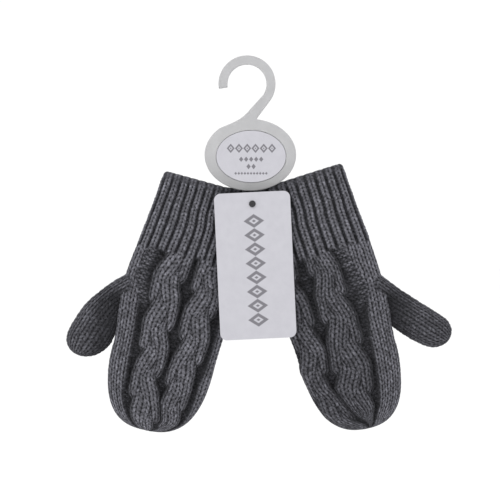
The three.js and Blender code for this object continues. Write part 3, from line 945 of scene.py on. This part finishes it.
def arc(cx, cz, a, b, start, end):
    """Points on an ellipse from start to end degrees, about 1.2 degrees apart."""
    count = max(int(abs(end - start) / 1.2), 8)
    t = np.radians(np.linspace(start, end, count))
    return np.stack([cx + a * np.cos(t), cz + b * np.sin(t)], 1)


def bezier(p, q, r, s):
    """The points between p and s of a cubic curve with the control points q and r."""
    t = np.linspace(0, 1, 30)[1:-1, None]
    p, q, r, s = (np.array(a, float) for a in (p, q, r, s))
    return (1 - t) ** 3 * p + 3 * (1 - t) ** 2 * t * q + 3 * (1 - t) * t**2 * r + t**3 * s


def plate(name, outlines, front, thick, bevel, material):
    """A flat plate from outlines in the XZ plane, with rounded edges. Later outlines are holes."""
    curve = bpy.data.curves.new(name, "CURVE")
    curve.dimensions = "2D"
    curve.fill_mode = "BOTH"
    curve.extrude = (thick / 2 - bevel) * MM
    curve.bevel_depth = bevel * MM
    curve.bevel_resolution = 3
    curve.offset = -bevel * MM
    for outline in outlines:
        spline = curve.splines.new("POLY")
        spline.points.add(len(outline) - 1)
        flat = np.zeros((len(outline), 4))
        flat[:, :2] = np.asarray(outline) * MM
        flat[:, 3] = 1
        spline.points.foreach_set("co", flat.ravel())
        spline.use_cyclic_u = True
    source = add_object(name + "_source", curve)
    depsgraph = bpy.context.evaluated_depsgraph_get()
    mesh = bpy.data.meshes.new_from_object(source.evaluated_get(depsgraph))
    bpy.data.objects.remove(source)
    co = np.zeros(len(mesh.vertices) * 3)
    mesh.vertices.foreach_get("co", co)
    co = co.reshape(-1, 3)
    placed = np.stack([co[:, 0], (front + thick / 2) * MM - co[:, 2], co[:, 1]], 1)
    mesh.vertices.foreach_set("co", placed.ravel())
    mesh.materials.clear()
    mesh.materials.append(material)
    join = bmesh.new()
    join.from_mesh(mesh)
    bmesh.ops.remove_doubles(join, verts=join.verts, dist=0.003 * MM)
    bmesh.ops.recalc_face_normals(join, faces=join.faces)
    for face in join.faces:
        face.smooth = abs(face.normal.y) < 0.999
    join.to_mesh(mesh)
    join.free()
    return add_object(name, mesh)


def finish(piece, body, slot, *nodes):
    """Puts a piece on its body, in place of its CAD nodes if it has any. slot is not used."""
    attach(piece, body)
    if nodes:
        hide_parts(*nodes)


# The hanger's outline, as in the CAD model. OVAL and LABEL are centre x and z and both half sizes.
HOOK_Z, HOOK_INNER, HOOK_OUTER = -10.5, 10.5, 15.4
HOOK_TIP, HOOK_TIP_EASE, SHANK = 189.5, 0.8, -36
OVAL = (1.8, -48.8, 24.7, 19.4)
NOTCH, SHOULDER = 80, 132
SHANK_FOOT = (5.9, -28.3)
NECK = ((5.2, -29.1), (5.2, -29.5))
SWEEP = ((-7.5, -31.2), (-3, -30.2), (1.6, -24.2))
LABEL = (2.2, -49.7, 18.7, 13.9)
LABEL_PROUD, LABEL_THICK, LABEL_BEVEL = 0.1, 0.5, 0.08
POCKET_ROOM, POCKET_OVERCUT, POCKET_DEPTH, POCKET_BEVEL = 0.35, 1, 0.7, 0.05
PLATE_THICK, PLATE_BEVEL = 2.4, 0.55
TONGUE_FRONT, TONGUE_THICK, TONGUE_WIDTH, TONGUE_BEVEL = 7.6, 2.0, 8.0, 0.4
TONGUE_TOP, TONGUE_BOTTOM = -50.0, -80.5
BRIDGE, BRIDGE_BEVEL, BRIDGE_SINK = 4.0, 0.3, 0.2

# The tag, and the pin through it: a domed head, a thin shank and a cross bar.
TAG_HALF, TAG_TOP, TAG_BOTTOM, TAG_CORNER, TAG_LEAN = 20.5, 6.3, -72.7, 3.6, 2.7
TAG_FRONT, TAG_THICK, TAG_BEVEL = -2.6, 0.7, 0.12
PIN_HOLE_R, PIN_HOLE_TURN = 1.2, 350
HEAD_R, HEAD_Y, HEAD_DOME, HEAD_BACK = 1.8, -3.2, 0.5, -2.9
SHANK_R, BAR_HALF, BAR_Y = 0.8, 4.5, 10.9
POINT_R = 0.001


def hanger_outline():
    """The hook, shank and oval in one outline."""
    oval = arc(*OVAL, NOTCH, SHOULDER - 360)
    outer_end = HOOK_TIP - math.degrees(HOOK_TIP_EASE / HOOK_OUTER)
    inner_end = HOOK_TIP - math.degrees(HOOK_TIP_EASE / HOOK_INNER)
    inner = arc(0, HOOK_Z, HOOK_INNER, HOOK_INNER, SHANK, inner_end)
    outer = arc(0, HOOK_Z, HOOK_OUTER, HOOK_OUTER, outer_end, SHANK)
    tip = math.radians(HOOK_TIP)

    def hook_point(radius):
        return radius * math.cos(tip), HOOK_Z + radius * math.sin(tip)

    inside, outside = hook_point(HOOK_INNER + HOOK_TIP_EASE), hook_point(HOOK_OUTER - HOOK_TIP_EASE)
    return np.concatenate([
        outer,
        bezier(SHANK_FOOT, *NECK, oval[0]),
        oval,
        bezier(oval[-1], *SWEEP),
        inner,
        bezier(inner[-1], hook_point(HOOK_INNER), hook_point(HOOK_INNER), inside),
        [inside, outside],
        bezier(outside, hook_point(HOOK_OUTER), hook_point(HOOK_OUTER), outer[0]),
    ])


def rounded(half, top, bottom, corner):
    """An upright rectangle with rounded corners."""
    return np.concatenate([
        arc(half - corner, top - corner, corner, corner, 0, 90),
        arc(corner - half, top - corner, corner, corner, 90, 180),
        arc(corner - half, bottom + corner, corner, corner, 180, 270),
        arc(half - corner, bottom + corner, corner, corner, 270, 360),
    ])


def lathe(name, profile, material, across=False):
    """A round piece on the pin's line, or across the pin's end. profile holds (radius, place) pairs."""
    sides = 48
    t = np.linspace(0, 2 * math.pi, sides, endpoint=False)
    rings = []
    for r, place in profile:
        x, y, z = r * np.cos(t), np.full(sides, place), r * np.sin(t)
        if across:
            x, y = y, BAR_Y - x
        rings.append(np.stack([PIN_X + x, y, PIN_Z + z], 1))
    return mesh_object(name, np.concatenate(rings), [quads(len(profile), sides, wrap=True)], material)


def build_hanger(frosted):
    """The hanger's plate with a pocket for the label, and the tongue and bridge behind it."""
    front = -PLATE_THICK / 2
    shape = plate("display_hanger", [hanger_outline()], front, PLATE_THICK, PLATE_BEVEL, frosted)
    x, z, a, b = LABEL
    rim = arc(x, z, a + POCKET_ROOM, b + POCKET_ROOM, 0, 359)
    deep = POCKET_OVERCUT + POCKET_DEPTH
    pocket = plate("pocket", [rim], front - POCKET_OVERCUT, deep, POCKET_BEVEL, frosted)
    carve = shape.modifiers.new("pocket", "BOOLEAN")
    carve.operation = "DIFFERENCE"
    carve.solver = "EXACT"
    carve.object = pocket
    depsgraph = bpy.context.evaluated_depsgraph_get()
    carved = bpy.data.meshes.new_from_object(shape.evaluated_get(depsgraph))
    shape.modifiers.clear()
    shape.data = carved
    bpy.data.objects.remove(pocket)
    finish(shape, "hanger_body", "frosted_plastic", "hanger")

    half = TONGUE_WIDTH / 2
    left, right = PIN_X - half, PIN_X + half
    foot = arc(PIN_X, TONGUE_BOTTOM + half, half, half, 180, 360)
    outline = np.concatenate([[(right, TONGUE_TOP), (left, TONGUE_TOP)], foot])
    hole = arc(PIN_X, PIN_Z, PIN_HOLE_R, PIN_HOLE_R, 0, PIN_HOLE_TURN)
    tongue = plate("hanger_tongue", [outline, hole], TONGUE_FRONT, TONGUE_THICK, TONGUE_BEVEL, frosted)
    finish(tongue, "hanger_body", "frosted_plastic")
    low = TONGUE_TOP - BRIDGE
    outline = [(right, TONGUE_TOP), (left, TONGUE_TOP), (left, low), (right, low)]
    depth = TONGUE_FRONT + TONGUE_THICK - PLATE_THICK / 2 - BRIDGE_SINK
    bridge = plate("hanger_bridge", [outline], -front - BRIDGE_SINK, depth, BRIDGE_BEVEL, frosted)
    finish(bridge, "hanger_body", "frosted_plastic")


def build_label():
    """The oval label, with rows of diamonds where the real one is printed."""
    rows = [
        (False, -4.4, -13.2, 6, 4.45, 2.3, 2.7, True),
        (False, 1.5, -6.7, 5, 2.7, 1.25, 1.5, False),
        (False, 5.4, -2.7, 2, 2.7, 1.25, 1.6, False),
        (False, 9.1, -9.1, 11, 1.65, 0.78, 0.85, False),
    ]
    surface = card_material("label_card", LABEL[:2], 0, rows)
    front = -PLATE_THICK / 2 - LABEL_PROUD
    label = plate("oval_label", [arc(*LABEL, 0, 359)], front, LABEL_THICK, LABEL_BEVEL, surface)
    finish(label, "hanger_body", "pale_card", "size_label")


def build_tag():
    """The swing tag, with one row of diamonds down it."""
    rows = [(True, 0.4, 5.4, 8, 7.6, 3.95, 5.9, True)]
    surface = card_material("tag_card", (PIN_X, PIN_Z), TAG_LEAN, rows)
    outline = rounded(TAG_HALF, TAG_TOP, TAG_BOTTOM, TAG_CORNER)
    hole = arc(0, 0, PIN_HOLE_R, PIN_HOLE_R, 0, PIN_HOLE_TURN)
    cos, sin = math.cos(math.radians(TAG_LEAN)), math.sin(math.radians(TAG_LEAN))
    turn = np.array([[cos, sin], [-sin, cos]])
    leaning = [o @ turn + (PIN_X, PIN_Z) for o in (outline, hole)]
    tag = plate("swing_card", leaning, TAG_FRONT, TAG_THICK, TAG_BEVEL, surface)
    finish(tag, "tag", "pale_card", "swing_tag")


def build_pin():
    """The nylon pin: its head and shank in one piece, and its cross bar in another."""
    low, high = (0.012, 0.012, 0.014), (0.022, 0.022, 0.026)
    nylon = plastic_material("dark_nylon", low, high, 0.0, 0.45, 3000)
    turns = np.linspace(math.pi / 2, 0, 12)
    dome = [(HEAD_R * math.cos(a), HEAD_Y - HEAD_DOME * math.sin(a)) for a in turns]
    profile = [(POINT_R, dome[0][1])] + dome[1:] + [
        (1.75, -2.95), (1.6, HEAD_BACK), (SHANK_R, HEAD_BACK), (SHANK_R, BAR_Y), (POINT_R, BAR_Y),
    ]
    pin = lathe("nylon_pin", profile, nylon)
    finish(pin, "hanger_body", "dark_nylon", "tag_pin")

    ends = []
    for a in np.linspace(0, math.pi, 17):
        end = -1 if a < math.pi / 2 else 1
        along = BAR_HALF * end - SHANK_R * (math.cos(a) + end)
        ends.append((max(SHANK_R * math.sin(a), POINT_R), along))
    bar = lathe("nylon_cross_bar", ends, nylon, across=True)
    finish(bar, "hanger_body", "dark_nylon")


# Painted shade: the plate's colour darkens towards its bottom, where the dark knit lies behind the
# translucent plastic.
build_hanger(plastic_material(
    "frosted_plastic", (0.52, 0.52, 0.53), (0.59, 0.59, 0.60), 0.3, 0.42, 2200, (-50, -67, 0.68)
))
build_label()
build_tag()
build_pin()

KNIT = knit_material()


def build_mitten(name, mitten):
    """The four pieces of a mitten."""
    body = f"{name}_mitten"
    pieces = (
        (cuff(f"{name}_ribbed_cuff", mitten, KNIT), f"{name}_cuff"),
        (hand_panel(f"{name}_cabled_back", mitten, True, KNIT), f"{name}_back_panel"),
        (hand_panel(f"{name}_plain_palm", mitten, False, KNIT), f"{name}_palm_panel"),
    )
    for piece, replaced in pieces:
        finish(piece, body, "charcoal_knit", replaced)
    tube = thumb(f"{name}_knit_thumb", mitten, KNIT)
    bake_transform(tube)
    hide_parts(f"{name}_thumb")


for mitten_name, mitten_sizes in MITTENS.items():
    build_mitten(mitten_name, mitten_sizes)


# ---- stage ----

FLOOR_SIZE, FLOOR_DROP, FLOOR_PALE = 30, 0.12, 0.99
WORLD_LIGHT = 1.04
AIM = (0, 0, -0.1)
VIEW_WIDTH, VIEW_X, VIEW_Z = 0.270, 0.00162, -0.1001


def area_light(name, place, size, power):
    """A square lamp at a place, turned to the object."""
    light = bpy.data.lights.new(name, "AREA")
    light.size = size
    light.energy = power
    lamp = add_object(name, light)
    lamp.location = place
    lamp.rotation_euler = (Vector(AIM) - Vector(place)).to_track_quat("-Z", "Y").to_euler()


def stage():
    """A pale floor, soft light from all round and two lamps, and the camera."""
    floor_z = CAD_BOX[0][2] - FLOOR_DROP
    bpy.ops.mesh.primitive_plane_add(size=FLOOR_SIZE, location=(0, 0, floor_z))
    floor = bpy.context.object
    floor.name = "floor"
    pale, _, shader = new_material("pale_floor")
    settings(shader, Base_Color=(FLOOR_PALE, FLOOR_PALE, FLOOR_PALE, 1), Roughness=0.9)
    floor.data.materials.append(pale)

    world = bpy.data.worlds.new("studio")
    bpy.context.scene.world = world
    world.use_nodes = True
    settings(world.node_tree.nodes["Background"], Color=(1, 1, 1, 1), Strength=WORLD_LIGHT)
    area_light("key", (-0.45, -0.5, 0.6), 0.4, 2.0)
    area_light("fill", (0.7, -0.7, 0.1), 0.8, 0.3)

    bpy.context.scene.view_settings.view_transform = "Standard"
    camera = bpy.data.cameras.new("camera")
    camera.lens = 85
    camera.sensor_width = 36
    holder = add_object("camera", camera)
    distance = VIEW_WIDTH * camera.lens / camera.sensor_width
    holder.location = (VIEW_X, -distance, VIEW_Z)
    holder.rotation_euler = (math.pi / 2, 0, 0)
    bpy.context.scene.camera = holder


stage()
